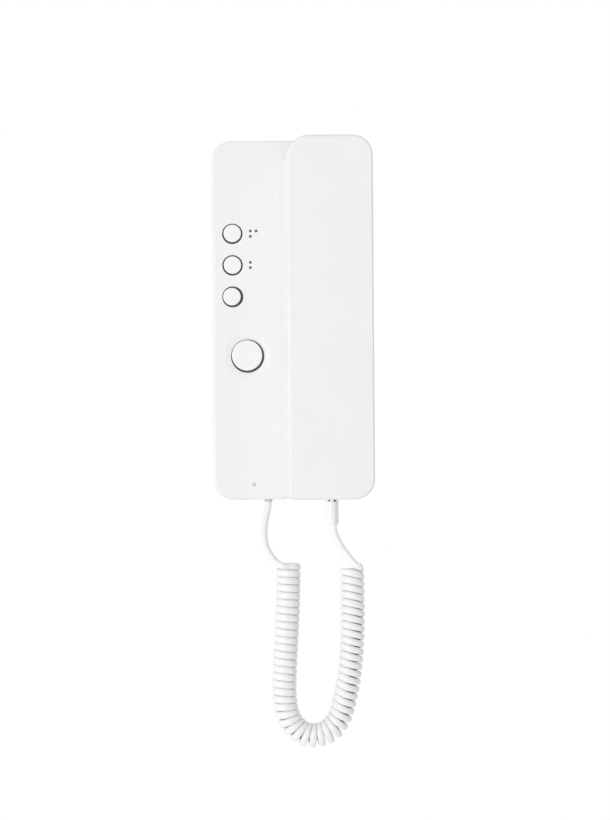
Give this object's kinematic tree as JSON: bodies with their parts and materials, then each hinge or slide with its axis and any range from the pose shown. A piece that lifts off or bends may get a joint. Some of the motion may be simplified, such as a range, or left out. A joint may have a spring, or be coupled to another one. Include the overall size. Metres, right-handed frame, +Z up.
{
  "type": "wall intercom with handset",
  "caption": "White wall-mounted audio intercom: a shallow base with call buttons and a door button, a lift-off handset in a cradle, and a curly cord between them.",
  "frame": {"origin": "middle of the wall plate's back face, on the wall", "axes": "+Z up along the base, +Y into the wall, +X to the right as seen from the front"},
  "size_m": [0.088, 0.048, 0.3334],
  "materials": {
    "cover_white": "fine satin moulded ABS",
    "handset_white": "fine satin moulded ABS",
    "button_white": "smooth moulded ABS",
    "plate_grey": "plain moulded ABS",
    "lever_ivory": "natural acetal",
    "black_plastic": "moulded",
    "board_green": "solder mask on glass epoxy",
    "terminal_green": "moulded polyamide",
    "soft_black": "foam and rubber",
    "soft_grey": "soft PVC",
    "lead_red": "insulated wire",
    "steel": "zinc-plated",
    "lens_clear": "clear acrylic",
    "plug_clear": "clear polycarbonate",
    "cord_white": "satin PVC jacket"
  },
  "bodies": {
    "base": {"wall_plate": "plate_grey", "front_cover": "cover_white", "main_board": "board_green", "board_screws": "steel", "tact_switches": "black_plastic", "terminal_block": "terminal_green", "terminal_screws": "steel", "ringer_speaker": "black_plastic", "speaker_gasket": "soft_black", "speaker_lead": "lead_red", "hook_bracket": "black_plastic", "hook_pin": "steel", "hook_switch": "black_plastic", "hook_spring": "steel", "status_led": "lead_red", "light_pipe": "lens_clear", "cord_grommet": "soft_grey", "cord_lead": "lead_red", "cord_header": "lever_ivory", "cord_base_tail": "cord_white", "cord_coil": "cord_white", "cord_handset_tail": "cord_white"},
    "upper_button": {"upper_button": "button_white", "upper_plunger": "black_plastic"},
    "middle_button": {"middle_button": "button_white", "middle_plunger": "black_plastic"},
    "lower_button": {"lower_button": "button_white", "lower_plunger": "black_plastic"},
    "door_button": {"door_button": "button_white", "door_plunger": "black_plastic"},
    "hook": {"hook_lever": "lever_ivory"},
    "handset": {"handset_front_shell": "handset_white", "handset_rear_shell": "handset_white", "receiver_capsule": "black_plastic", "receiver_gasket": "soft_black", "microphone_capsule": "steel", "microphone_boot": "soft_black", "handset_board": "board_green", "handset_jack": "black_plastic", "handset_leads": "lead_red", "handset_screws": "steel", "cord_plug": "plug_clear", "cord_boot": "cord_white"}
  },
  "joints": [
    {"name": "upper_press", "type": "slide", "parent": "base", "child": "upper_button", "axis": [0, 1, 0], "range_m": [0, 0.0008], "stiffness_N_per_m": 800, "springref_m": -0.0005},
    {"name": "middle_press", "type": "slide", "parent": "base", "child": "middle_button", "axis": [0, 1, 0], "range_m": [0, 0.0008], "stiffness_N_per_m": 800, "springref_m": -0.0005},
    {"name": "lower_press", "type": "slide", "parent": "base", "child": "lower_button", "axis": [0, 1, 0], "range_m": [0, 0.0016], "stiffness_N_per_m": 600, "springref_m": -0.0005},
    {"name": "door_press", "type": "slide", "parent": "base", "child": "door_button", "axis": [0, 1, 0], "range_m": [0, 0.0008], "stiffness_N_per_m": 1000, "springref_m": -0.0005},
    {"name": "handset_lift", "type": "slide", "parent": "base", "child": "handset", "axis": [0, -1, 0], "range_m": [0, 0.06], "deforming": ["cord_base_tail", "cord_coil", "cord_handset_tail"]},
    {"name": "hook_turn", "type": "hinge", "parent": "base", "child": "hook", "pos_m": [0.0005, -0.0122, 0.0505], "axis": [-1, 0, 0], "range_deg": [0, 8], "deforming": ["hook_spring"]}
  ],
  "couplings": [
    {"joint": "hook_turn", "follows": "handset_lift", "rad_per_m": 2.32}
  ]
}
